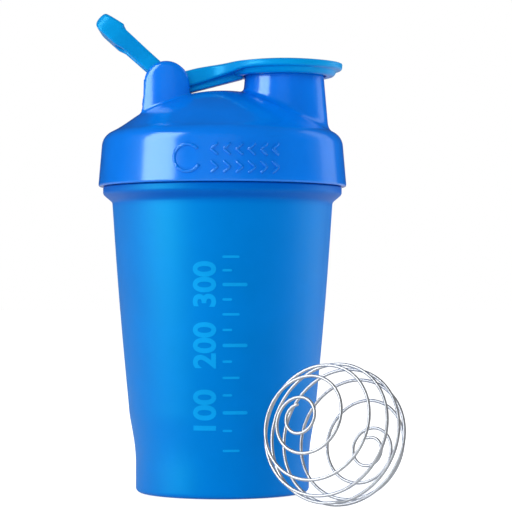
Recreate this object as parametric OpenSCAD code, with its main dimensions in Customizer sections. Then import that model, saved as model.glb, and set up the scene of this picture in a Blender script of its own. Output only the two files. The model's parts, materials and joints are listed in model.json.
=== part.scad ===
// Protein shaker bottle: a tapered cup, a screw lid with a pouring spout, a flip cap and a carry
// loop on one hinge pin, and a loose wire whisk ball.
// Millimetres. +Z is up, the origin is the centre of the cup's foot on the ground,
// +X runs from the hinge to the spout, and -Y is the front with the level marks.

/* [Cup] */
// Height of the cup's rim
rim_z = 133; // [132:0.5:136]
// Radius of the foot
foot_r = 33.5; // [33:0.1:34]
// Radius of the wall at the foot's soft step, where the taper starts
taper_r = 36.4; // [36:0.1:37]
// Growth of the radius for each millimetre of height
taper = 0.0816; // [0.075:0.001:0.085]
// Wall thickness
wall = 1.7; // [1.4:0.1:2]
// Floor thickness
floor_t = 2.4; // [2:0.1:3]

/* [Lid] */
// Outer radius at the bottom of the skirt
lid_r = 48; // [47.5:0.1:48.5]
// Radius of the dome
dome_r = 60.7; // [60:0.1:61.5]
// Height of the dome's crown
dome_z = 155; // [154.8:0.1:155.3]
// Thread pitch
pitch = 6; // [5.5:0.5:6.5]
// Distance of the spout from the axis
spout_x = 24; // [23.5:0.1:24.5]
// Radius of the spout's bore
spout_bore_r = 13.2; // [12.8:0.1:13.4]

/* [Hinge] */
// Distance of the hinge pin behind the axis
hinge_back = 21.5; // [21.3:0.1:21.8]
// Height of the hinge pin
hinge_z = 156.2; // [156.1:0.1:156.6]
// Radius of the pin
pin_r = 2; // [1.8:0.1:2.2]
// Radial clearance of the parts that turn on the pin
pin_play = 0.06; // [0.04:0.01:0.1]

/* [Flip cap] */
// Radius of the cap's rim
cap_r = 22.5; // [22:0.1:23]
// Height of the cap's top
cap_z = 167.2; // [167:0.1:167.5]

/* [Carry loop] */
// Slope of the loop above the horizontal, in degrees
loop_slope = 42; // [38:1:46]
// Length from the pin to the tip
loop_len = 37.1; // [35:0.1:38]
// Half of the loop's width
loop_half_w = 13; // [12:0.5:14]

/* [Whisk ball] */
// Radius of the ball, to the outside of the wire
ball_r = 26.1; // [25:0.1:26.5]
// Radius of the wire
wire_r = 0.6; // [0.5:0.05:0.7]
// Turns from pole to pole
wire_turns = 9; // [8:0.25:11]

/* [Hidden] */
$fn = 96;

// Cup
step_z = [10, 32];          // the soft step between the foot and the taper
taper_z = 34.9;             // where taper_r is measured
belly = 0.35;               // how far the taper bulges at mid height
collar_z = [111, 117.6];    // the rounded collar under the lid
collar_h = 3.6;             // how far the collar stands out of the wall
neck_r = 43;                // outside of the neck, at the root of its thread
neck_in_r = 41.3;
ring_step = 4;              // height of one conical band of the cup's wall
foot_round = 1.8;

// Thread
thread_h = 1.6;             // height of a ridge above its root
thread_w = [3.2, 1.6];      // width of a ridge at its root and at its crest
thread_gap = 0.4;           // radial gap from a crest to the wall opposite
thread_lead = 40;           // degrees over which a ridge grows at each end
thread_seg = 6;             // degrees to one segment
neck_thread = [0, 540];     // degrees where the neck's ridge starts and ends
lid_thread = [60, 510];
neck_thread_z = 122;        // height of the neck's ridge at 0 degrees

// Lid
bore_r = neck_r + thread_h + thread_gap;
skirt_z = 118;
roof_z = rim_z + 2.2;       // underside of the lid over the rim
plug_wall_r = [38.9, 40.6]; // the skirt that reaches into the neck
plug_wall_z = 128;
dome_c = dome_z - dome_r;   // height of the dome's centre
dome_t = 2;
spout_z = [138, 162.4];
spout_r = [17.4, 15.2];
lip = 0.8;                  // rounding of the spout's lip

// Hinge
hinge_x = -hinge_back;
ear_r = 9.5;
ear_y = [8.8, 12.5];        // inner and outer face of an ear
pin_y = [-11, 12.3];
barrel_r = 4.7;
barrel_y = 5;
knuckle_y = [5.3, 8.5];
knuckle_r = 4.7;

// Flip cap
cap_top_r = 140;            // radius of its domed top
band_z = 162.7;             // lower edge of the rim band
ceiling_z = 163;
collar_in_r = 16.2;         // inside of the collar round the spout
collar_low = [19.1, 160.5];
arm_y = [5, 2.6];           // half widths of the arm's flange and of the web below it
plug_r = [12.1, 12.85];
plug_z = 158.4;

// Whisk ball
ball_at = [41.3, -57];
ball_pole = [-0.536, -0.79, 0.295];
pole_gap = 11;              // degrees from a pole to the end of the wire
wire_start = 198;           // degrees round the pole where the wire starts
wire_seg = 15;              // degrees of turn to one segment
wire_sides = 8;

function smooth(t) = let (c = min(1, max(0, t))) c * c * (3 - 2 * c);
function sum(v) = v * [for (i = v) 1];
function arc(c, r, from, to, n) =
    [for (i = [0 : n]) let (a = from + (to - from) * i / n) c + r * [cos(a), sin(a)]];

// Outer radius of the cup's wall at a height
function taper_at(z) =
    let (t = min(1, max(0, (z - taper_z) / (collar_z[0] - taper_z))))
    taper_r + taper * (z - taper_z) + belly * sin(180 * t);
function wall_at(z) =
    foot_r + smooth((z - step_z[0]) / (step_z[1] - step_z[0])) * (taper_at(z) - foot_r);
function collar_at(t) = wall_at(collar_z[0]) + collar_h * smooth(t / 0.65);

// Millilitres to height, so that the level marks stand where the liquid would
function filled(z, dz = 1) =
    sum([for (s = [floor_t + dz / 2 : dz : z]) PI * pow(wall_at(s) - wall, 2) * dz]) / 1000;
function level(ml, lo = floor_t, hi = collar_z[0], n = 12) =
    let (mid = (lo + hi) / 2)
    n == 0 ? mid : filled(mid) > ml ? level(ml, lo, mid, n - 1) : level(ml, mid, hi, n - 1);

// A helical ridge on a round wall. side is 1 on the outside of a wall and -1 on the inside.
module ridge(root_r, side, span, z_at_0) {
    n = floor((span[1] - span[0]) / thread_seg);
    sunk = 0.5;
    rings = [for (i = [0 : n])
        let (a = span[0] + (span[1] - span[0]) * i / n,
             grown = smooth((a - span[0]) / thread_lead) * smooth((span[1] - a) / thread_lead),
             z = z_at_0 + pitch * a / 360,
             crest = root_r + side * max(0.05, thread_h * grown),
             foot = root_r - side * sunk,
             low_w = thread_w[0] / 2 + sunk * (thread_w[0] - thread_w[1]) / 2 / thread_h,
             top_w = low_w - (thread_h * grown + sunk) * (thread_w[0] - thread_w[1]) / 2 / thread_h)
        each [for (p = [[foot, -low_w], [crest, -top_w], [crest, top_w], [foot, low_w]])
            [p[0] * cos(a), p[0] * sin(a), z + p[1]]]];
    quads = [for (i = [0 : n - 1], k = [0 : 3])
        let (a = 4 * i + k, b = 4 * i + (k + 1) % 4)
        each [[a, b, b + 4], [a, b + 4, a + 4]]];
    ends = [[0, 2, 1], [0, 3, 2], [4 * n, 4 * n + 1, 4 * n + 2], [4 * n, 4 * n + 2, 4 * n + 3]];
    polyhedron(rings, side > 0 ? concat(quads, ends) : [for (f = concat(quads, ends)) [f[0], f[2], f[1]]]);
}

module cup_body() {
    bands = [for (z = [6 : ring_step : collar_z[0] - 1]) z];
    outside = concat(
        arc([foot_r - foot_round, foot_round], foot_round, -90, 0, 5),
        [for (z = bands) [wall_at(z), z]],
        [for (i = [0 : 8]) [collar_at(i / 9), collar_z[0] + (collar_z[1] - collar_z[0]) * i / 9]],
        [[collar_at(1) - 0.3, collar_z[1] - 0.3], [collar_at(1) - 0.9, collar_z[1]],
         [neck_r, collar_z[1]], [neck_r, rim_z - 0.4], [neck_r - 0.4, rim_z]]);
    inside = concat(
        [[neck_in_r + 0.4, rim_z], [neck_in_r, rim_z - 0.4], [neck_in_r, collar_z[0] + 4]],
        [for (i = [len(bands) - 1 : -1 : 0]) [wall_at(bands[i]) - wall, bands[i]]],
        [[foot_r - wall - 1.5, floor_t], [0, floor_t], [0, 0]]);
    color([0.0, 0.47, 0.85]) {
        rotate_extrude() polygon(concat(outside, inside));
        ridge(neck_r, 1, neck_thread, neck_thread_z);
    }
}

// Raised level marks: a long one at each 100 ml and a short one between them
module scale_marks() {
    mark_h = 0.9;
    proud = 0.25;
    arcs = [14, 8];             // degrees that a long and a short mark cover
    color([0.04, 0.6, 0.9])
        for (ml = [50 : 50 : 350]) {
            z = level(ml);
            low = z - mark_h / 2;
            high = z + mark_h / 2;
            rotate([0, 0, -90]) rotate_extrude(angle = arcs[ml % 100 == 0 ? 0 : 1])
                polygon([[wall_at(low) - 0.02, low], [wall_at(low) + proud, low],
                         [wall_at(high) + proud, high], [wall_at(high) - 0.02, high]]);
        }
}

// The silicone ring that the lid presses on the rim
module lid_seal_ring() {
    gap = 0.05;
    low = rim_z + gap;
    high = roof_z - gap;
    color([0.85, 0.87, 0.9]) rotate_extrude()
        polygon([[41, low + 0.4], [41.4, low], [44.2, low], [44.6, low + 0.4],
                 [44.6, high - 0.4], [44.2, high], [41.4, high], [41, high - 0.4]]);
}

// Outline of a bracket ear, seen along the pin
module ear_outline() {
    polygon(concat(
        arc([hinge_x, hinge_z], ear_r, 8, 178, 20),
        [[-31.3, 153.5], [-31.7, 150.5], [-32.6, 144.6], [-33.2, 142.6], [-34.2, 140.8],
         [-5, 140.8], [-8.2, 150.2], [-9.8, 151.2], [-11.2, 152.6], [-11.8, 154.6]]));
}

module lid_shell() {
    shoulder_in = dome_c + sqrt(pow(dome_r - dome_t, 2) - pow(plug_wall_r[0], 2));
    module outer() {
        rotate_extrude() polygon(concat(
            [[0, skirt_z], [lid_r - 0.8, skirt_z], [lid_r - 0.2, skirt_z + 0.2], [lid_r, skirt_z + 0.8],
             [46.85, 132.2], [46.65, 134.2], [46.3, 135.6], [45.6, 136.9], [44.4, 138], [42.9, 138.9],
             [40.8, 139.9], [39.2, 140.9], [37.5, 142.1], [35.8, 143.5]],
            arc([0, dome_c], dome_r, acos(33.5 / dome_r), 90, 16)));
        translate([spout_x, 0, 0]) rotate_extrude()
            polygon(concat([[0, spout_z[0]], [spout_r[0], spout_z[0]]],
                arc([spout_r[1] - lip, spout_z[1] - lip], lip, 5, 90, 5), [[0, spout_z[1]]]));
        for (side = [-1, 1])
            translate([0, side * (ear_y[0] + ear_y[1]) / 2, 0]) rotate([90, 0, 0])
                linear_extrude(ear_y[1] - ear_y[0], center = true) ear_outline();
    }
    module hollow() {
        rotate_extrude() polygon(concat(
            [[0, skirt_z - 1], [bore_r + 0.8, skirt_z - 1], [bore_r + 0.8, skirt_z], [bore_r, skirt_z + 0.8],
             [bore_r, roof_z], [plug_wall_r[1], roof_z], [plug_wall_r[1], plug_wall_z + 0.6],
             [plug_wall_r[1] - 0.6, plug_wall_z], [plug_wall_r[0] + 0.5, plug_wall_z],
             [plug_wall_r[0], plug_wall_z + 0.5], [plug_wall_r[0], shoulder_in]],
            arc([0, dome_c], dome_r - dome_t, acos(plug_wall_r[0] / (dome_r - dome_t)), 90, 16)));
        translate([spout_x, 0, spout_z[0] - 10]) cylinder(h = 40, r = spout_bore_r);
        translate([hinge_x, 0, hinge_z]) rotate([90, 0, 0])
            translate([0, 0, -20]) cylinder(h = 20 - pin_y[0], r = pin_r);
    }
    color([0.0, 0.45, 0.88]) {
        difference() {
            outer();
            hollow();
        }
        ridge(bore_r, -1, lid_thread, neck_thread_z - pitch / 2);
    }
}

module hinge_pin() {
    color([0.0, 0.4, 0.8]) translate([hinge_x, 0, hinge_z]) rotate([90, 0, 0])
        translate([0, 0, -pin_y[1]]) cylinder(h = pin_y[1] - pin_y[0], r = pin_r);
}

// Cap over the spout, with its thumb lip, arm and hinge barrel
module flip_cap() {
    module along_y(half) {
        rotate([90, 0, 0]) linear_extrude(2 * half, center = true) children();
    }
    module disc() {
        translate([spout_x, 0, 0]) rotate_extrude()
            polygon([[0, ceiling_z], [collar_in_r, ceiling_z], [collar_in_r, collar_low[1]], collar_low,
                     [20.4, band_z - 0.2], [21.1, band_z], [cap_r - 0.2, band_z + 2.1], [cap_r, band_z + 2.6],
                     [cap_r, band_z + 8], [0, band_z + 8]]);
    }
    module flange() {
        difference() {
            intersection() {
                linear_extrude(200) polygon([
                    [-20, -arm_y[0]], [-6, -arm_y[0]], [-1, -7], [5, -12], [10, -17], [20, -20],
                    [20, 20], [10, 17], [5, 12], [-1, 7], [-6, arm_y[0]], [-20, arm_y[0]]]);
                along_y(30) polygon([[-20, 155.2], [-12.6, 156.4], [0, 160.2], [7, 162.3], [20, 163.2],
                                     [20, 170], [-20, 170]]);
            }
            translate([spout_x, 0, spout_z[0]])
                cylinder(h = ceiling_z + 1 - spout_z[0], r = collar_in_r + 1);
        }
    }
    module web() {
        along_y(arm_y[1]) polygon([
            [hinge_x + 2.5, 159], [hinge_x + 3.2, 153], [-13, 154.3], [-8, 155.3], [1.2, 158],
            [5.4, 159.3], [7.6, 160.5], [7.7, 164], [-13, 160]]);
    }
    color([0.03, 0.55, 0.86]) difference() {
        union() {
            intersection() {
                translate([spout_x, 0, cap_z - cap_top_r]) sphere(r = cap_top_r, $fn = 360);
                union() {
                    disc();
                    flange();
                }
            }
            web();
            translate([hinge_x, 0, hinge_z]) rotate([90, 0, 0])
                cylinder(h = 2 * barrel_y, r = barrel_r, center = true);
        }
        translate([hinge_x, 0, hinge_z]) rotate([90, 0, 0])
            cylinder(h = 4 * barrel_y, r = pin_r + pin_play, center = true);
    }
}

// Soft plug inside the cap that closes the spout
module spout_plug() {
    hollow_r = 9;
    color([0.85, 0.87, 0.9]) translate([spout_x, 0, 0]) rotate_extrude()
        polygon([[0, ceiling_z - 1.2], [hollow_r, ceiling_z - 1.2], [hollow_r + 0.6, plug_z],
                 [plug_r[0] - 0.6, plug_z], [plug_r[0], plug_z + 0.6], [plug_r[1], ceiling_z - 0.6],
                 [plug_r[1], ceiling_z], [0, ceiling_z]]);
}

// Carry ring. Its own axes are u, from the pin to the tip, and n, up and towards the spout.
module carry_loop() {
    arm_n = [-0.6, 5.65];
    head_u = 27.2;              // where the head at the tip starts
    spread_u = 12.5;            // where the arms start to spread, clear of the ears
    hole_r = 3;
    hole_half_w = loop_half_w - 3.5;
    corner_r = 6;
    module side_view() {
        polygon(concat(
            [[0, arm_n[0]], [21.5, arm_n[0]], [23.5, -1], [25.5, -1.4], [32.5, -1.4]],
            arc([loop_len - 2.6, 1.9], 2.6, -75, 0, 5),
            arc([loop_len - 1.8, 3.4], 1.8, 0, 75, 4),
            [[head_u + 0.5, 6.6], [head_u, arm_n[1]], [0, arm_n[1]]]));
    }
    module outline() {
        polygon(concat(
            [[0, knuckle_y[1]], [spread_u, knuckle_y[1]], [head_u, loop_half_w]],
            arc([loop_len - corner_r, loop_half_w - corner_r], corner_r, 90, 0, 8),
            arc([loop_len - corner_r, corner_r - loop_half_w], corner_r, 0, -90, 8),
            [[head_u, -loop_half_w], [spread_u, -knuckle_y[1]], [0, -knuckle_y[1]],
             [0, -knuckle_y[0]], [spread_u, -knuckle_y[0]]],
            arc([head_u - hole_r, hole_r - hole_half_w], hole_r, -90, 0, 5),
            arc([head_u - hole_r, hole_half_w - hole_r], hole_r, 0, 90, 5),
            [[spread_u, knuckle_y[0]], [0, knuckle_y[0]]]));
    }
    module along_v(length) {
        rotate([90, 0, 0]) linear_extrude(length, center = true) children();
    }
    color([0.03, 0.58, 0.9])
        translate([hinge_x, 0, hinge_z]) rotate([0, 180 + loop_slope, 0]) mirror([0, 0, 1]) difference() {
            union() {
                intersection() {
                    along_v(4 * loop_half_w) side_view();
                    translate([0, 0, -20]) linear_extrude(40) outline();
                }
                for (side = [-1, 1])
                    translate([0, side * (knuckle_y[0] + knuckle_y[1]) / 2, 0])
                        along_v(knuckle_y[1] - knuckle_y[0]) circle(r = knuckle_r);
            }
            along_v(40) circle(r = pin_r + pin_play);
        }
}

// Degrees from a pole after s of the nine turns. The wire is nearly a ring at first, then opens into
// a wide spiral that closes a little towards the ball's equator.
function eased(c) = c <= 0 ? 0 : c >= 1 ? c - 0.5 : pow(c, 3) - pow(c, 4) / 2;
function from_pole(s) = pole_gap + 4.4 * s + 12.1 * eased((s - 0.6) / 0.6) - 23 * eased((s - 1.8) / 2.4);

// One wire wound from pole to pole of a sphere
module whisk_wire() {
    path_r = ball_r - wire_r;
    tilt = acos(ball_pole[2] / norm(ball_pole));
    turn = atan2(ball_pole[1], ball_pole[0]);
    n = floor(wire_turns * 360 / wire_seg);
    function on_path(t) =
        let (polar = t < 0.5 ? from_pole(9 * t) : 180 - from_pole(9 - 9 * t),
             a = wire_start + 360 * wire_turns * t)
        path_r * [sin(polar) * cos(a), sin(polar) * sin(a), cos(polar)];
    rings = [for (i = [0 : n])
        let (c = on_path(i / n),
             along = on_path((i + 0.5) / n) - on_path((i - 0.5) / n),
             out = c / norm(c),
             side = cross(along, out) / norm(cross(along, out)),
             up = cross(side, along) / norm(cross(side, along)))
        each [for (k = [0 : wire_sides - 1])
            c + wire_r * (cos(360 * k / wire_sides) * side + sin(360 * k / wire_sides) * up)]];
    walls = [for (i = [0 : n - 1], k = [0 : wire_sides - 1])
        let (a = wire_sides * i + k, b = wire_sides * i + (k + 1) % wire_sides)
        each [[a, b, b + wire_sides], [a, b + wire_sides, a + wire_sides]]];
    ends = [for (k = [1 : wire_sides - 2])
        each [[0, k + 1, k], [wire_sides * n, wire_sides * n + k, wire_sides * n + k + 1]]];
    color([0.78, 0.78, 0.8])
        translate([ball_at[0], ball_at[1], ball_r]) rotate([0, tilt, turn])
            polyhedron(rings, [for (f = concat(walls, ends)) [f[0], f[2], f[1]]]);
}

cup_body();
scale_marks();
lid_seal_ring();
lid_shell();
hinge_pin();
flip_cap();
spout_plug();
carry_loop();
whisk_wire();
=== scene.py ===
"""Looks of the shaker bottle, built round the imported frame.

Shapes are worked out in millimetres, in the frame's own axes, and become metres when a mesh is made.
The lid, flip cap and carry loop are signed distance functions, so that their fillets run into each
other as they do on a moulding. The cup is a revolved profile, and the whisk ball is a swept wire.
"""

import json
import math

import bmesh
import bpy
import numpy as np
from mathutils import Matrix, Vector

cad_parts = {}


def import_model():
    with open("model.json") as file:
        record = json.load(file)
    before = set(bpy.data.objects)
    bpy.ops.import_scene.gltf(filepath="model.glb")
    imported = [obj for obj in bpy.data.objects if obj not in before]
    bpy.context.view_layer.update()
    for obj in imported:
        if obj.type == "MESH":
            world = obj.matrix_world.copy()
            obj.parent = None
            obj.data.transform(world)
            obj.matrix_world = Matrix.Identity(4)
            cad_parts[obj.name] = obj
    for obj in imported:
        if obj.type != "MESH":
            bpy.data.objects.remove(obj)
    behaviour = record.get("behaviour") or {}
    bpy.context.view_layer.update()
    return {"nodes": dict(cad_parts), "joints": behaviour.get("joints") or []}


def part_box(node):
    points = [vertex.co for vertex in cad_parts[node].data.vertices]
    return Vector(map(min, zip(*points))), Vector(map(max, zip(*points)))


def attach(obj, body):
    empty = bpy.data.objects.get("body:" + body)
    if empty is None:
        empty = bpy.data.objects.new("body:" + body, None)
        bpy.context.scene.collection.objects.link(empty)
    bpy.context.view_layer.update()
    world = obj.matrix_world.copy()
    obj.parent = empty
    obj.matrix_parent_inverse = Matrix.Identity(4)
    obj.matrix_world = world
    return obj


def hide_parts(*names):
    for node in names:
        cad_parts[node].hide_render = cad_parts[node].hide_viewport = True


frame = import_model()

MM = 0.001
JOINTS = {j["name"]: j for j in frame["joints"]}


def box_mm(node):
    """Lowest and highest corner of a CAD node, in millimetres."""
    low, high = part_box(node)
    return np.array(low) / MM, np.array(high) / MM


# ---------------------------------------------------------------- sizes, from the frame where it has them
HINGE = np.array(JOINTS["cap_flip"]["pos_m"]) / MM
RIM_Z = box_mm("cup_body")[1][2]
LID_LOW, LID_HIGH = box_mm("lid_shell")
CAP_LOW, CAP_HIGH = box_mm("flip_cap")
PLUG_LOW, PLUG_HIGH = box_mm("spout_plug")
PIN_LOW, PIN_HIGH = box_mm("hinge_pin")
BALL_LOW, BALL_HIGH = box_mm("whisk_wire")

# the cup: foot, the soft step above it, taper, collar and neck
FOOT_R, FOOT_ROUND = 33.5, 1.8
STEP_Z = (10.0, 32.0)
TAPER_R, TAPER, TAPER_Z, BELLY = 36.4, 0.0816, 34.9, 0.35
COLLAR_Z, COLLAR_H = (111.0, 117.6), 3.6
WALL, FLOOR_T, NECK_R, NECK_IN_R = 1.7, 2.4, 43.0, 41.3

# the thread, with a ridge's widths at its root and at its crest, and its spans in degrees
PITCH = 6.0
THREAD_H, THREAD_W, THREAD_LEAD = 1.6, (3.2, 1.6), 40.0
NECK_THREAD, LID_THREAD, NECK_THREAD_Z = (0.0, 540.0), (60.0, 510.0), 122.0

# the lid: skirt, dome, spout and the ears of the hinge
SKIRT_Z = LID_LOW[2]
LID_R, LID_DRAFT = 48.0, 0.0852
DOME_TOP, DOME_R, DOME_T = 155.0, 60.7, 2.0
DOME_C = DOME_TOP - DOME_R
SPOUT_X = (PLUG_LOW[0] + PLUG_HIGH[0]) / 2
SPOUT_TOP, SPOUT_BORE_R = 162.4, 13.2
EAR_R, EAR_IN_Y = 9.5, 8.8
IN_DOME_Z = 137.0           # the ears and the spout start here, inside the dome's wall

# what turns on the pin
PIN_R = (PIN_HIGH[0] - PIN_LOW[0]) / 2
PIN_PLAY, BARREL_R = 0.06, 4.7
CAP_R = CAP_HIGH[0] - SPOUT_X
CAP_TOP, CAP_DOME_R, CAP_CEILING = 167.2, 140.0, 163.0


# ---------------------------------------------------------------- small helpers
def smooth(t):
    """An S-shaped step from 0 at 0 to 1 at 1."""
    t = np.clip(t, 0.0, 1.0)
    return t * t * (3 - 2 * t)


def union(a, b, k):
    """The lower of two distances, blended over k millimetres."""
    h = np.clip(0.5 + 0.5 * (b - a) / k, 0, 1)
    return b + (a - b) * h - k * h * (1 - h)


def common(a, b, k):
    """The higher of two distances, blended over k millimetres."""
    return -union(-a, -b, k)


def cut(a, b, k):
    """The distance to a without b, blended over k millimetres."""
    return -union(-a, b, k)


def new_mesh(name, points_mm, faces):
    """A smooth-shaded mesh object in the scene, from points in millimetres."""
    mesh = bpy.data.meshes.new(name)
    mesh.from_pydata((np.asarray(points_mm) * MM).tolist(), [], faces)
    mesh.validate()
    mesh.shade_smooth()
    piece = bpy.data.objects.new(name, mesh)
    bpy.context.scene.collection.objects.link(piece)
    return piece


def finish_piece(piece, material, body, slot, *nodes):
    """Gives a piece its material and body, and hides the CAD nodes that it is seen in place of. The slot is
    not used.
    """
    piece.data.materials.clear()
    piece.data.materials.append(material)
    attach(piece, body)
    if nodes:
        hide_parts(*nodes)


# ---------------------------------------------------------------- meshes from distance functions
CELL_CORNERS = np.array([[i, j, k] for i in (0, 1) for j in (0, 1) for k in (0, 1)])
CELL_EDGES = [(a, b) for a in range(8) for b in range(a + 1, 8)
              if np.abs(CELL_CORNERS[a] - CELL_CORNERS[b]).sum() == 1]
SLAB = 24                   # layers of the grid that are worked out at a time


def sampled(distance, low, high, voxel):
    """A distance function's values on a grid, with the grid's three axes."""
    axes = [np.arange(a, b + voxel, voxel, dtype=np.float32) for a, b in zip(low, high)]
    field = np.empty([len(a) for a in axes], np.float32)
    for i in range(0, len(axes[0]), SLAB):
        x, y, z = np.meshgrid(axes[0][i:i + SLAB], axes[1], axes[2], indexing="ij")
        field[i:i + SLAB] = distance(x, y, z)
    return axes, field


def surface_net(axes, field):
    """Points and quads of the field's zero surface: one point in each cell that it crosses."""
    inside = field < 0
    n = [s - 1 for s in field.shape]

    def corner(values, c):
        return values[c[0]:c[0] + n[0], c[1]:c[1] + n[1], c[2]:c[2] + n[2]]

    count = sum(corner(inside, c).astype(np.uint8) for c in CELL_CORNERS)
    crossed = (count > 0) & (count < 8)
    number = np.full(crossed.shape, -1, np.int64)
    number[crossed] = np.arange(crossed.sum())
    values = np.stack([corner(field, c)[crossed] for c in CELL_CORNERS], axis=1)
    total, hits = np.zeros((len(values), 3)), np.zeros(len(values))
    for a, b in CELL_EDGES:
        met = (values[:, a] < 0) != (values[:, b] < 0)
        t = values[met, a] / (values[met, a] - values[met, b])
        total[met] += CELL_CORNERS[a] + t[:, None] * (CELL_CORNERS[b] - CELL_CORNERS[a])
        hits[met] += 1
    low = np.array([a[0] for a in axes])
    step = axes[0][1] - axes[0][0]
    points = low + step * (np.argwhere(crossed) + total / hits[:, None])

    quads = []
    for axis in range(3):
        u, v = (axis + 1) % 3, (axis + 2) % 3
        near = [slice(1, -1)] * 3
        near[axis] = slice(0, -1)
        far = list(near)
        far[axis] = slice(1, None)
        start, end = inside[tuple(near)], inside[tuple(far)]
        for outward in (True, False):
            at = np.argwhere(start & ~end if outward else ~start & end)
            at[:, u] += 1
            at[:, v] += 1
            ring = []
            for du, dv in ((-1, -1), (0, -1), (0, 0), (-1, 0)):
                cell = at.copy()
                cell[:, u] += du
                cell[:, v] += dv
                ring.append(number[cell[:, 0], cell[:, 1], cell[:, 2]])
            ring = np.stack(ring, axis=1)
            quads.append(ring if outward else ring[:, ::-1])
    return points, np.concatenate(quads)


def slope(distance, p, h=0.04):
    """The distance's gradient at points."""
    g = np.empty_like(p)
    for axis in range(3):
        step = np.zeros(3)
        step[axis] = h
        a, b = p + step, p - step
        g[:, axis] = (distance(*a.T) - distance(*b.T)) / (2 * h)
    return g


def moulded(name, distance, low, high, voxel):
    """A mesh object of a distance function. Its points are moved onto the true surface, and its normals are
    the function's own."""
    passes, least_slope_squared = 3, 0.25
    points, quads = surface_net(*sampled(distance, low, high, voxel))
    for _ in range(passes):
        g = slope(distance, points)
        d = np.clip(distance(*points.T), -voxel, voxel)
        points -= g * (d / np.maximum((g * g).sum(1), least_slope_squared))[:, None]
    piece = new_mesh(name, points, quads.tolist())
    normals = slope(distance, points, voxel / 3)
    normals /= np.maximum(np.linalg.norm(normals, axis=1), 1e-9)[:, None]
    piece.data.normals_split_custom_set_from_vertices(normals.tolist())
    return piece


# ---------------------------------------------------------------- the cup
def taper_at(z):
    """Radius of the tapered wall, as if it went down to the ground."""
    bulge = BELLY * np.sin(np.pi * np.clip((z - TAPER_Z) / (COLLAR_Z[0] - TAPER_Z), 0, 1))
    return TAPER_R + TAPER * (z - TAPER_Z) + bulge


def wall_at(z):
    """Outer radius of the cup's wall."""
    return FOOT_R + smooth((z - STEP_Z[0]) / (STEP_Z[1] - STEP_Z[0])) * (taper_at(z) - FOOT_R)


def arc(centre, radius, start, end, n):
    """n + 1 points of an arc, from one angle in degrees to another."""
    angles = np.radians(np.linspace(start, end, n + 1))
    return [(centre[0] + radius * math.cos(a), centre[1] + radius * math.sin(a)) for a in angles]


def ridge_height(angle, z, span, z_at_0):
    """Height of a helical ridge above its wall, at angles in degrees and heights z."""
    best = np.zeros(np.broadcast(angle, z).shape)
    turns_at_most = 3
    for turn in range(turns_at_most):
        a = angle + 360 * turn
        grown = smooth((a - span[0]) / THREAD_LEAD) * smooth((span[1] - a) / THREAD_LEAD)
        off = np.abs(z - z_at_0 - PITCH * a / 360)
        flank = (THREAD_W[0] / 2 - off) / (THREAD_W[0] - THREAD_W[1]) * 2
        best = np.maximum(best, THREAD_H * grown * smooth(flank * 0.9 + 0.05))
    return best


def revolved(name, profile, segments, bump):
    """A closed solid of revolution. The profile runs from the axis to the axis, and bump gives what is added
    to its radius at an angle, a radius and a height."""
    profile = np.array(profile)
    angles = np.linspace(0, 360, segments, endpoint=False)
    r = np.repeat(profile[1:-1, 0][:, None], segments, axis=1)
    z = np.repeat(profile[1:-1, 1][:, None], segments, axis=1)
    r = r + bump(angles[None, :], r, z)
    cos, sin = np.cos(np.radians(angles)), np.sin(np.radians(angles))
    rings = np.stack([r * cos, r * sin, z], axis=2).reshape(-1, 3)
    points = np.vstack([rings, [[0, 0, profile[0, 1]], [0, 0, profile[-1, 1]]]])
    rows, around = len(profile) - 2, np.arange(segments)
    after = (around + 1) % segments
    faces = []
    for i in range(rows - 1):
        a, b = i * segments, (i + 1) * segments
        faces += np.stack([a + around, a + after, b + after, b + around], axis=1).tolist()
    first, last = rows * segments, rows * segments + 1
    end = (rows - 1) * segments
    faces += [[first, int(j), int(i)] for i, j in zip(around, after)]
    faces += [[last, int(end + i), int(end + j)] for i, j in zip(around, after)]
    return new_mesh(name, points, faces)


def cup_profile():
    """From the centre of the underside, up the outside, over the rim and down to the floor."""
    recess, ring_r = 0.8, 29.5
    under = [(0, recess), (6, recess), (12, recess), (18, recess), (24, recess), (27.6, recess)]
    under += [(28.4, recess * 0.85), (29.1, recess * 0.35), (ring_r, 0.06), (ring_r + 0.6, 0)]
    foot = arc((FOOT_R - FOOT_ROUND, FOOT_ROUND), FOOT_ROUND, -90, 0, 8)
    side = [(wall_at(z), z) for z in np.arange(3, COLLAR_Z[0], 1.0)]
    rise = COLLAR_Z[1] - COLLAR_Z[0]
    collar = [(wall_at(COLLAR_Z[0]) + COLLAR_H * smooth(t / 0.65), COLLAR_Z[0] + rise * t)
              for t in np.linspace(0, 0.9, 22)]
    top_r, edge = collar[-1][0], 0.6
    collar += arc((top_r - edge, COLLAR_Z[1] - edge), edge, 0, 90, 5)
    root = 0.25
    neck = [(NECK_R + root, COLLAR_Z[1]), (NECK_R + 0.07, COLLAR_Z[1] + 0.07), (NECK_R, COLLAR_Z[1] + root)]
    neck += [(NECK_R, z) for z in np.arange(COLLAR_Z[1] + 0.5, RIM_Z - 0.7, 0.2)]
    mid = (NECK_R + NECK_IN_R) / 2
    half = (NECK_R - NECK_IN_R) / 2
    rim = arc((mid, RIM_Z - half), half, 0, 180, 14)
    inside = [(NECK_IN_R, z) for z in np.arange(RIM_Z - 2, COLLAR_Z[0] + 4, -2)]
    inside += [(wall_at(z) - WALL, z) for z in np.arange(COLLAR_Z[0] - 1, 8, -1.5)]
    corner = 4.0
    low_r = FOOT_R - WALL
    inside += arc((low_r - corner, FLOOR_T + corner), corner, 0, -90, 8)
    inside += [(r, FLOOR_T) for r in (22, 16, 10, 5)]
    return under + foot + side + collar + neck + rim + inside + [(0, FLOOR_T)]


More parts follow.
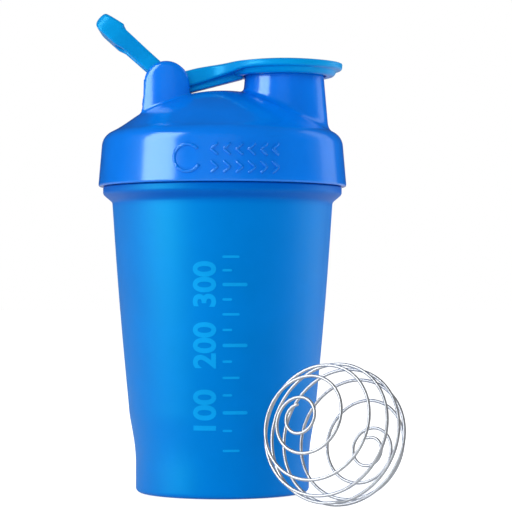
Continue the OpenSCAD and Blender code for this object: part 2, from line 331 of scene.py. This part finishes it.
def neck_bump(angle, r, z):
    """The thread's height on the outside of the neck, and 0 elsewhere on the cup."""
    on_neck = (np.abs(r - NECK_R) < 0.01) & (z > COLLAR_Z[1])
    return np.where(on_neck, ridge_height(angle, z, NECK_THREAD, NECK_THREAD_Z), 0)


# ---------------------------------------------------------------- the lid
def lid_wall(z):
    """Outer radius of the lid's skirt."""
    return LID_R - LID_DRAFT * (z - SKIRT_Z - 0.5)


def on_lid_dome(x, y, z, radius):
    return np.sqrt(x * x + y * y + (z - DOME_C) ** 2) - radius


def lid_outside(x, y, z):
    """The lid as if it were full. A sloping side is scaled by the cosine of its slope, so that it stays a
    distance."""
    r = np.hypot(x, y)
    wall = (r - lid_wall(z)) * 0.996
    shoulder = ((z - 138.9) + 0.466 * (r - 42.9)) * 0.906
    drum = common(common(wall, shoulder, 3.4), z - 145, 0.5)
    dome = common(on_lid_dome(x, y, z, DOME_R), wall + 1.5, 1)
    body = common(union(drum, dome, 1.2), SKIRT_Z - 0.3 - z, 0.9)

    # the two ears of the hinge bracket
    drop = HINGE[2] - z
    left = HINGE[0] - 9.45 - 0.115 * drop - x
    right = x - (HINGE[0] + EAR_R)
    post = common(common(left, right, 0.5), -drop, 0.3)
    outline = union(np.hypot(x - HINGE[0], z - HINGE[2]) - EAR_R, post, 0.6)
    crown = 12.8 - (x - HINGE[0] - 1) ** 2 / 34
    slab = np.maximum(EAR_IN_Y - np.abs(y), (np.abs(y) - crown) * 0.96)
    ear = common(common(outline, slab, 2.6), IN_DOME_Z - z, 1)
    body = union(body, ear, 1.0)

    # the spout
    rs = np.hypot(x - SPOUT_X, y)
    side = (rs - (15.4 + 0.0875 * (159.6 - z))) * 0.996
    spout = common(common(side, z - SPOUT_TOP, 1.8), IN_DOME_Z - z, 1)
    return union(body, spout, 2.2)


def lid_distance(x, y, z):
    """The lid, hollowed, bored and threaded."""
    r = np.hypot(x, y)
    body = lid_outside(x, y, z)
    roof_z, bore_r = RIM_Z + 2.2, NECK_R + THREAD_H + 0.4
    plug_wall = common(np.abs(r - 39.75) - 0.85, 128 - z, 0.6)
    thread_room = cut(common(r - bore_r, z - roof_z, 0.8), plug_wall, 0.6)
    under_dome = common(on_lid_dome(x, y, z, DOME_R - DOME_T), r - 38.9, 0.8)
    body = cut(body, union(thread_room, under_dome, 0.8), 0.7)
    rs = np.hypot(x - SPOUT_X, y)
    body = cut(body, common(rs - SPOUT_BORE_R, 134 - z, 0.5), 1.2)

    # room for the barrels between the ears, and the pin's hole, which is open at the far ear
    from_pin = np.hypot(x - HINGE[0], z - HINGE[2])
    body = cut(body, common(from_pin - 5.15, np.abs(y) - EAR_IN_Y, 0.4), 0.5)
    pin_hole = np.maximum(from_pin - PIN_R - 0.02, -11 - y)
    body = cut(body, pin_hole, 0.3)

    # the thread, on the bore's wall, and worked out only near it
    near = bore_r - r
    angle = np.degrees(np.arctan2(y, x)) % 360
    height = ridge_height(angle, z, LID_THREAD, NECK_THREAD_Z - PITCH / 2)
    ridge = np.where((height > 0.02) & (near < 4) & (near > -1.5), (near - height) * 0.75, 9.0)
    return np.minimum(body, np.maximum(ridge, -1.2 - near))


# ---------------------------------------------------------------- the flip cap
def cap_distance(x, y, z):
    """The flip cap: its disc, the collar that goes round the spout, its arm and the barrel on the pin."""
    top = np.sqrt((x - SPOUT_X) ** 2 + y * y + (z - CAP_TOP + CAP_DOME_R) ** 2) - CAP_DOME_R
    top = top - 0.6 * smooth((2 - x) / 14)
    rd = np.hypot(x - SPOUT_X, y)
    band_side = (rd - (21.0 + 0.72 * (z - 162.7))) * 0.81
    band = common(common(top, band_side, 0.7), 162.6 - z, 0.5)
    collar = (rd - (19.1 + 0.62 * (z - 160.5))) * 0.85
    collar = common(common(collar, 160.5 - z, 0.8), z - 165, 0.5)

    # the arm is wide where it meets the cap, and narrow enough at the hinge to pass inside the loop
    arm = common(np.abs(y) - 4.9, x - SPOUT_X, 1)
    plan = union(arm, rd - CAP_R, 10)
    reach = 8 - x
    under = 162.8 - 0.155 * (reach + np.sqrt(reach * reach + 9))
    flange = common(common(plan, top, 1.4), (under - z) * 0.96, 1.4)
    flange = common(flange, HINGE[0] + 1 - x, 0.5)
    line = (155.5 + 0.26 * (x + 8) - z) * 0.968
    web = common(common(np.abs(y) - 2.7, line, 0.8), z - 162, 0.5)
    web = common(common(web, x - 9.5, 0.5), HINGE[0] + 2 - x, 0.5)
    from_pin = np.hypot(x - HINGE[0], z - HINGE[2])
    barrel = common(from_pin - BARREL_R, np.abs(y) - 5.0, 0.6)
    body = union(union(flange, web, 1.2), barrel, 1.2)
    body = np.minimum(union(band, collar, 0.2), body)
    body = cut(body, common(rd - 16.2, z - CAP_CEILING, 0.6), 0.6)
    return cut(body, from_pin - PIN_R - PIN_PLAY, 0.3)


# ---------------------------------------------------------------- the carry loop
LOOP_SLOPE = math.radians(42)
LOOP_LEN, LOOP_HEAD, LOOP_HALF_W = 37.1, 27.2, 13.0
LOOP_ARM = (-0.6, 5.65)
KNUCKLE_Y = (5.3, 8.5)


def loop_distance(x, y, z):
    """The carry loop. Its own axes are u, from the pin to the tip, n, up and towards the spout, and v, the
    distance from its middle."""
    dx, dz = x - HINGE[0], z - HINGE[2]
    u = -dx * math.cos(LOOP_SLOPE) + dz * math.sin(LOOP_SLOPE)
    n = dx * math.sin(LOOP_SLOPE) + dz * math.cos(LOOP_SLOPE)
    v = np.abs(y)
    head = smooth((u - LOOP_HEAD + 0.1) / 0.6)
    above = n - LOOP_ARM[1] - head * (1.1 - 0.17 * (u - LOOP_HEAD))
    bulge = 0.8 * smooth((u - 21.5) / 4) * smooth((37.5 - u) / 5)
    below = LOOP_ARM[0] - bulge - n
    side = common(common(above, u - LOOP_LEN, 2), below, 2.8)
    widen = smooth((u - 12) / 16)
    outer_v = KNUCKLE_Y[1] + (LOOP_HALF_W - KNUCKLE_Y[1]) * widen
    inner_v = KNUCKLE_Y[0] + 4.2 * smooth((u - 12) / 14)
    outer = common((v - outer_v) * 0.9, u - LOOP_LEN, 6.5)
    inner = common((v - inner_v) * 0.9, u - LOOP_HEAD, 3)
    plan = cut(outer, inner, 0.6)
    ring = common(common(side, plan, 1.2), -1 - u, 0.5)
    from_pin = np.hypot(dx, dz)
    knuckle = common(from_pin - BARREL_R, np.abs(v - 6.9) - 1.6, 0.5)
    body = cut(union(ring, knuckle, 1.0), common(v - KNUCKLE_Y[0], u - LOOP_HEAD, 4), 0.3)
    return cut(body, from_pin - PIN_R - PIN_PLAY, 0.3)


# ---------------------------------------------------------------- the whisk ball
WIRE_R, WIRE_TURNS, WIRE_START, POLE_GAP = 0.6, 9, 198.0, 11.0
BALL_POLE = Vector((-0.536, -0.79, 0.295)).normalized()


def eased(c):
    """0 up to 0, then a curve that joins a line of slope 1 at c = 1."""
    return np.where(c <= 0, 0, np.where(c >= 1, c - 0.5, c ** 3 - c ** 4 / 2))


def from_pole(turns):
    """Degrees from a pole: nearly a ring at first, then a wide spiral that closes a little towards the
    ball's equator."""
    return POLE_GAP + 4.4 * turns + 12.1 * eased((turns - 0.6) / 0.6) - 23 * eased((turns - 1.8) / 2.4)


def pole_turn(pole):
    """The rotation that turns +Z to the pole: a tilt about +Y, then a turn about +Z."""
    tilt, turn = math.acos(pole.z), math.atan2(pole.y, pole.x)
    ct, st, ca, sa = math.cos(tilt), math.sin(tilt), math.cos(turn), math.sin(turn)
    return np.array([[ca * ct, -sa, ca * st], [sa * ct, ca, sa * st], [-st, 0, ct]])


def whisk_ball():
    """One round wire, swept along a spiral from pole to pole, with rounded ends."""
    centre = (BALL_LOW + BALL_HIGH) / 2
    path_r = (BALL_HIGH[2] - BALL_LOW[2]) / 2 - WIRE_R
    steps_a_turn, sides = 90, 16
    steps = WIRE_TURNS * steps_a_turn
    t = np.linspace(0, 1, steps + 1)
    turns = WIRE_TURNS * t
    polar = np.radians(np.where(t < 0.5, from_pole(turns), 180 - from_pole(WIRE_TURNS - turns)))
    around = np.radians(WIRE_START + 360 * turns)
    out = np.sin(polar)
    path = path_r * np.stack([out * np.cos(around), out * np.sin(around), np.cos(polar)], 1)
    along = np.gradient(path, axis=0)
    along /= np.linalg.norm(along, axis=1)[:, None]
    across = np.cross(along, path)
    across /= np.linalg.norm(across, axis=1)[:, None]
    up = np.cross(across, along)
    turn = np.linspace(0, 2 * np.pi, sides, endpoint=False)
    rings = [np.outer(np.cos(turn), across[i]) + np.outer(np.sin(turn), up[i]) for i in range(steps + 1)]

    def end_cap(i, way, tucks):
        """Smaller rings beyond an end of the wire, at angles in degrees towards its tip."""
        return [path[i] + WIRE_R * (math.cos(tuck) * rings[i] + way * math.sin(tuck) * along[i])
                for tuck in (math.radians(t) for t in tucks)]

    sweep = end_cap(0, -1, (80, 55, 28)) + [p + WIRE_R * ring for p, ring in zip(path, rings)]
    sweep += end_cap(-1, 1, (28, 55, 80))
    points = np.concatenate(sweep)
    faces = []
    for i in range(len(sweep) - 1):
        for k in range(sides):
            a, b = i * sides + k, i * sides + (k + 1) % sides
            faces.append([a, b, b + sides, a + sides])
    last = (len(sweep) - 1) * sides
    faces.append(list(range(sides))[::-1])
    faces.append([last + k for k in range(sides)])
    return new_mesh("whisk_ball", points @ pole_turn(BALL_POLE).T + centre, faces)


# ---------------------------------------------------------------- print and relief that follow a round wall
def flat_number(body, size, at):
    """A number that reads upwards, as a flat outline in millimetres: its points and its faces."""
    curve = bpy.data.curves.new("digits", "FONT")
    curve.body = body
    curve.size = size
    curve.align_x, curve.align_y = "CENTER", "CENTER"
    boldness = 0.03
    curve.offset = boldness * size
    holder = bpy.data.objects.new("digits", curve)
    bpy.context.scene.collection.objects.link(holder)
    bpy.context.view_layer.update()
    mesh = bpy.data.meshes.new_from_object(holder.evaluated_get(bpy.context.evaluated_depsgraph_get()))
    points = np.array([v.co for v in mesh.vertices])
    faces = [list(p.vertices) for p in mesh.polygons]
    bpy.data.objects.remove(holder)
    bpy.data.curves.remove(curve)
    bpy.data.meshes.remove(mesh)
    return np.stack([at[0] - points[:, 1], at[1] + points[:, 0]], 1), faces


def flat_polygon(points):
    """One polygon, in the same form as a number's outline."""
    return np.array(points, float), [list(range(len(points)))]


def flat_bar(centre, length, width, turn=0.0):
    """A bar with round ends."""
    points = []
    half = (length - width) / 2
    for way, start in ((1, -90), (-1, 90)):
        points += arc((way * half, 0), width / 2, start, start + 180, 8)
    c, s = math.cos(math.radians(turn)), math.sin(math.radians(turn))
    return flat_polygon([(centre[0] + c * x - s * y, centre[1] + s * x + c * y) for x, y in points])


def wrapped(name, shapes, wall, lift):
    """Thin solids laid on the front of a round wall, whose radius is wall(height). Shapes are flat outlines,
    whose x runs round the wall and y up it. They are cut into a grid first, so that they can bend."""
    front, spacings, sink = math.radians(-90), (1.0, 4.0), 0.15
    work = bmesh.new()
    for points, faces in shapes:
        verts = [work.verts.new((p[0], p[1], 0)) for p in points]
        for f in faces:
            work.faces.new([verts[i] for i in f])
    bmesh.ops.remove_doubles(work, verts=work.verts, dist=1e-4)
    bmesh.ops.recalc_face_normals(work, faces=work.faces)
    ends = [[pick(v.co[axis] for v in work.verts) for pick in (min, max)] for axis in (0, 1)]
    for axis, spacing in enumerate(spacings):
        for at in np.arange(ends[axis][0] + spacing / 2, ends[axis][1], spacing):
            where, normal = [0, 0, 0], [0, 0, 0]
            where[axis], normal[axis] = at, 1
            everything = work.verts[:] + work.edges[:] + work.faces[:]
            bmesh.ops.bisect_plane(work, geom=everything, plane_co=where, plane_no=normal)
    for f in work.faces:
        if f.normal.z < 0:
            f.normal_flip()
    raised = bmesh.ops.extrude_face_region(work, geom=work.faces[:])
    top = {v for v in raised["geom"] if isinstance(v, bmesh.types.BMVert)}
    for v in work.verts:
        height = lift if v in top else -sink
        radius = wall(v.co.y)
        angle = front + v.co.x / radius
        v.co = ((radius + height) * math.cos(angle), (radius + height) * math.sin(angle), v.co.y)
    bmesh.ops.recalc_face_normals(work, faces=work.faces)

    # the operators above leave their points and faces in no fixed order, so they are sorted
    verts = sorted(work.verts, key=lambda v: tuple(v.co))
    number = {v: i for i, v in enumerate(verts)}
    faces = sorted(([number[v] for v in f.verts] for f in work.faces), key=sorted)
    mesh = bpy.data.meshes.new(name)
    mesh.from_pydata([[c * MM for c in v.co] for v in verts], [], faces)
    work.free()
    piece = bpy.data.objects.new(name, mesh)
    bpy.context.scene.collection.objects.link(piece)
    return piece


def level_height(ml):
    """The height at which the cup holds so many millilitres, so that the marks stand where the CAD's do."""
    held, z, step = 0.0, FLOOR_T, 0.25
    while held < ml:
        held += math.pi * (float(wall_at(z + step / 2)) - WALL) ** 2 * step / 1000
        z += step
    return z


def cup_print():
    """A level scale: big upright numbers on the left and marks on the right."""
    shapes = []
    for ml in range(50, 351, 25):
        z = level_height(ml)
        long, mid = ml % 100 == 0, ml % 50 == 0
        length = 9.4 if long else 6.4 if mid else 3.6
        shapes.append(flat_bar((0.6 + length / 2, z), length, 1.3 if long else 0.9))
    digit_size, digits_x = 11.5, -5.6
    for ml in (100, 200, 300):
        shapes.append(flat_number(str(ml), digit_size, (digits_x, level_height(ml))))
    return wrapped("cup_print", shapes, lambda z: float(wall_at(z)), 0.05)


def lid_relief():
    """A row of arrows for each way that the lid turns, and an open ring beside them."""
    shapes = []
    arrows, first_x, spacing = 6, -2.2, 4.6
    for z, way in ((129.6, -1), (123.0, 1)):
        for i in range(arrows):
            at = first_x + spacing * i
            tip = at + way * 1.2
            tail = at - way * 1.2
            for side in (-1, 1):
                turn = math.degrees(math.atan2(side * 2.1, tail - tip))
                shapes.append(flat_bar(((tip + tail) / 2, z + side * 1.05), 3.6, 0.95, turn))
    centre, start, end, steps = (-12.4, 126.4), 40, 330, 40
    outer, inner = arc(centre, 5.6, start, end, steps), arc(centre, 4.5, start, end, steps)
    for i in range(steps):
        shapes.append(flat_polygon([outer[i], outer[i + 1], inner[i + 1], inner[i]]))
    return shapes


# ---------------------------------------------------------------- materials
def linear(rgb):
    """A display colour, 0 to 255, as scene-linear values."""
    return tuple((c / 255 / 12.92) if c <= 10 else ((c / 255 + 0.055) / 1.055) ** 2.4 for c in rgb) + (1.0,)


def plastic(name, rgb, rough, specular, tint=(1, 1, 1), subsurface=0.0, grain=0.012, mottle=0.05,
            deeper_and_shade=None):
    """Moulded plastic: a colour that drifts a little, roughness that drifts with it, and a fine skin.
    The last argument gives a darker colour, and the heights in millimetres over which it takes over going
    up. It paints the shade that a part above casts, mixed with the deeper tone of a thicker wall."""
    material = bpy.data.materials.new(name)
    material.use_nodes = True
    nodes, links = material.node_tree.nodes, material.node_tree.links
    shader = nodes["Principled BSDF"]
    where = nodes.new("ShaderNodeTexCoord")
    drift = nodes.new("ShaderNodeTexNoise")
    drift.inputs["Scale"].default_value = 60
    drift.inputs["Detail"].default_value = 3
    links.new(where.outputs["Object"], drift.inputs["Vector"])
    colour = nodes.new("ShaderNodeValToRGB")
    base = linear(rgb)
    low, high = colour.color_ramp.elements
    low.position, high.position = 0.3, 0.7
    low.color = tuple(c * (1 - mottle) for c in base[:3]) + (1,)
    high.color = tuple(min(1, c * (1 + mottle)) for c in base[:3]) + (1,)
    links.new(drift.outputs["Fac"], colour.inputs["Fac"])
    # painted shade: the colour grows darker between the two heights, as in the shadow under a lid
    if deeper_and_shade:
        deep_shade_rgb, start, end = deeper_and_shade
        height, blend = nodes.new("ShaderNodeSeparateXYZ"), nodes.new("ShaderNodeMapRange")
        blend.inputs["From Min"].default_value = start * MM
        blend.inputs["From Max"].default_value = end * MM
        links.new(where.outputs["Object"], height.inputs["Vector"])
        links.new(height.outputs["Z"], blend.inputs["Value"])
        mix = nodes.new("ShaderNodeMix")
        mix.data_type = "RGBA"
        mix.inputs["B"].default_value = linear(deep_shade_rgb)
        links.new(blend.outputs["Result"], mix.inputs["Factor"])
        links.new(colour.outputs["Color"], mix.inputs["A"])
        links.new(mix.outputs["Result"], shader.inputs["Base Color"])
    else:
        links.new(colour.outputs["Color"], shader.inputs["Base Color"])
    gloss = nodes.new("ShaderNodeMapRange")
    gloss.inputs["To Min"].default_value = rough * 0.85
    gloss.inputs["To Max"].default_value = rough * 1.15
    links.new(drift.outputs["Fac"], gloss.inputs["Value"])
    links.new(gloss.outputs["Result"], shader.inputs["Roughness"])
    skin = nodes.new("ShaderNodeTexNoise")
    skin.inputs["Scale"].default_value = 900
    skin.inputs["Detail"].default_value = 2
    links.new(where.outputs["Object"], skin.inputs["Vector"])
    bump = nodes.new("ShaderNodeBump")
    bump.inputs["Strength"].default_value = grain
    bump.inputs["Distance"].default_value = 0.0004
    links.new(skin.outputs["Fac"], bump.inputs["Height"])
    links.new(bump.outputs["Normal"], shader.inputs["Normal"])
    shader.inputs["Specular IOR Level"].default_value = specular
    shader.inputs["Specular Tint"].default_value = tint + (1,)
    if subsurface:
        shader.inputs["Subsurface Weight"].default_value = subsurface
        shader.inputs["Subsurface Radius"].default_value = (0.2, 0.6, 1.0)
        shader.inputs["Subsurface Scale"].default_value = 0.004
    return material


def steel(name):
    """Drawn stainless wire: satin metal with fine streaks."""
    material = bpy.data.materials.new(name)
    material.use_nodes = True
    nodes, links = material.node_tree.nodes, material.node_tree.links
    shader = nodes["Principled BSDF"]
    shader.inputs["Metallic"].default_value = 0.7
    where = nodes.new("ShaderNodeTexCoord")
    streak = nodes.new("ShaderNodeTexNoise")
    streak.inputs["Scale"].default_value = 500
    streak.inputs["Detail"].default_value = 4
    links.new(where.outputs["Object"], streak.inputs["Vector"])
    colour = nodes.new("ShaderNodeValToRGB")
    low, high = colour.color_ramp.elements
    low.color = (0.36, 0.38, 0.41, 1)
    high.color = (0.6, 0.62, 0.65, 1)
    links.new(streak.outputs["Fac"], colour.inputs["Fac"])
    links.new(colour.outputs["Color"], shader.inputs["Base Color"])
    gloss = nodes.new("ShaderNodeMapRange")
    gloss.inputs["To Min"].default_value = 0.3
    gloss.inputs["To Max"].default_value = 0.45
    links.new(streak.outputs["Fac"], gloss.inputs["Value"])
    links.new(gloss.outputs["Result"], shader.inputs["Roughness"])
    return material


LID_BLUE = plastic("lid_plastic", (0, 120, 234), 0.17, 0.8, tint=(0.6, 0.88, 1))
# the cup darkens up its collar: painted shade from the lid above, partly the deeper tone of the collar's
# doubled wall
CUP_BLUE = plastic("cup_plastic", (0, 117, 215), 0.46, 0.6, tint=(0.0, 1, 0.6), grain=0.04, mottle=0.03,
                   deeper_and_shade=((0, 92, 200), 109.5, 112.5))
ACCENT_BLUE = plastic("accent_plastic", (0, 149, 224), 0.3, 0.45, tint=(0.1, 0.8, 1))
PRINT_BLUE = plastic("mark_print", (8, 156, 234), 0.4, 0.5, tint=(0.05, 0.9, 1))
SEAL = plastic("seal_silicone", (205, 214, 222), 0.5, 0.4, subsurface=0.4, mottle=0.02)
WIRE = steel("wire_steel")


# ---------------------------------------------------------------- the pieces
def build():
    """Every visible piece."""
    cup = revolved("cup", cup_profile(), 288, neck_bump)
    finish_piece(cup, CUP_BLUE, "cup", "cup_plastic", "cup_body")
    finish_piece(cup_print(), PRINT_BLUE, "cup", "mark_print", "scale_marks")

    voxel = 0.5
    margin = 2.0
    lid = moulded("lid", lid_distance, LID_LOW - margin, LID_HIGH + margin, voxel)
    finish_piece(lid, LID_BLUE, "lid", "lid_plastic", "lid_shell")
    relief = wrapped("lid_relief", lid_relief(), lid_wall, 0.45)
    relief.data.shade_smooth()
    finish_piece(relief, LID_BLUE, "lid", "lid_plastic")

    fine = 0.4
    cap = moulded("cap", cap_distance, CAP_LOW - margin, CAP_HIGH + margin, fine)
    finish_piece(cap, ACCENT_BLUE, "flip_cap", "accent_plastic", "flip_cap")
    loop_low, loop_high = box_mm("carry_loop")
    loop = moulded("loop", loop_distance, loop_low - margin, loop_high + margin, fine)
    finish_piece(loop, ACCENT_BLUE, "carry_loop", "accent_plastic", "carry_loop")

    finish_piece(whisk_ball(), WIRE, "whisk_ball", "wire_steel", "whisk_wire")
    for node, material in (("lid_seal_ring", SEAL), ("spout_plug", SEAL), ("hinge_pin", LID_BLUE)):
        mesh = frame["nodes"][node].data
        mesh.materials.clear()
        mesh.materials.append(material)


# ---------------------------------------------------------------- stage, lights and camera
def stage():
    """A pale floor that reads as white from the camera, with faint shadows."""
    mesh = bpy.data.meshes.new("floor")
    size = 6.0
    corners = [(-size, -size, 0), (size, -size, 0), (size, size, 0), (-size, size, 0)]
    mesh.from_pydata(corners, [], [(0, 1, 2, 3)])
    floor = bpy.data.objects.new("floor", mesh)
    floor.location.z = -0.0002          # just under the object, so that no two faces share a plane
    bpy.context.scene.collection.objects.link(floor)
    material = bpy.data.materials.new("floor")
    material.use_nodes = True
    nodes, links = material.node_tree.nodes, material.node_tree.links
    shader = nodes["Principled BSDF"]
    shader.inputs["Base Color"].default_value = (0.85, 0.85, 0.85, 1)
    shader.inputs["Roughness"].default_value = 0.9
    shader.inputs["Specular IOR Level"].default_value = 0.1
    shader.inputs["Emission Color"].default_value = (1, 1, 1, 1)
    path, glow = nodes.new("ShaderNodeLightPath"), nodes.new("ShaderNodeMath")
    glow.operation = "MULTIPLY"
    glow.inputs[1].default_value = 0.75
    links.new(path.outputs["Is Camera Ray"], glow.inputs[0])
    links.new(glow.outputs["Value"], shader.inputs["Emission Strength"])
    mesh.materials.append(material)


def softbox(name, azimuth, height, distance, size, power, glossy=True, diffuse=True):
    """A rectangular light that stands round the object. Azimuth 0 is in front of it and 90 at its right."""
    light = bpy.data.lights.new(name, "AREA")
    light.shape = "RECTANGLE"
    light.size, light.size_y = size
    light.energy = power
    lamp = bpy.data.objects.new(name, light)
    turn = math.radians(azimuth)
    place = Vector((distance * math.sin(turn), -distance * math.cos(turn), height))
    lamp.location = place
    lamp.rotation_euler = (Vector((0, 0, 0.1)) - place).to_track_quat("-Z", "Y").to_euler()
    lamp.visible_glossy, lamp.visible_diffuse = glossy, diffuse
    bpy.context.scene.collection.objects.link(lamp)


def world(seen, mirrored, fill):
    """White where the camera sees it, and dimmer where it is mirrored and where it lights the object."""
    sky = bpy.data.worlds.new("studio")
    sky.use_nodes = True
    nodes, links = sky.node_tree.nodes, sky.node_tree.links
    nodes.clear()
    path = nodes.new("ShaderNodeLightPath")
    shown = None
    for strength, rays in ((fill, None), (mirrored, "Is Glossy Ray"), (seen, "Is Camera Ray")):
        light = nodes.new("ShaderNodeBackground")
        light.inputs["Color"].default_value = (1, 1, 1, 1)
        light.inputs["Strength"].default_value = strength
        if rays:
            mix = nodes.new("ShaderNodeMixShader")
            links.new(path.outputs[rays], mix.inputs["Fac"])
            links.new(shown, mix.inputs[1])
            links.new(light.outputs["Background"], mix.inputs[2])
            shown = mix.outputs["Shader"]
        else:
            shown = light.outputs["Background"]
    out = nodes.new("ShaderNodeOutputWorld")
    links.new(shown, out.inputs["Surface"])
    bpy.context.scene.world = sky


def camera():
    """A long lens in front of the bottle, a little below its middle, as for a product picture."""
    data = bpy.data.cameras.new("camera")
    data.sensor_width = 36
    data.lens = 145
    data.clip_start, data.clip_end = 0.01, 50
    view = bpy.data.objects.new("camera", data)
    view.location = (0.013, -0.8, 0.079)
    aim = Vector((0.013, 0, 0.091))
    view.rotation_euler = (aim - view.location).to_track_quat("-Z", "Y").to_euler()
    bpy.context.scene.collection.objects.link(view)
    bpy.context.scene.camera = view


build()
stage()
# the strips are only mirrored and the boxes only light, so that highlights and shading are set apart
softbox("strip_left", -60, 0.25, 0.85, (0.5, 1.3), 14, diffuse=False)
softbox("strip_right", 117, 0.25, 0.85, (0.38, 1.3), 1.1, diffuse=False)
softbox("key", -75, 0.45, 1.0, (0.8, 0.8), 5.5, glossy=False)
softbox("front", -5, 0.45, 1.1, (0.8, 0.8), 5, glossy=False)
softbox("rim", 108, 0.35, 1.0, (0.5, 0.8), 6.6, glossy=False)
world(seen=1.0, mirrored=0.03, fill=0.42)
camera()
bpy.context.scene.view_settings.view_transform = "Standard"
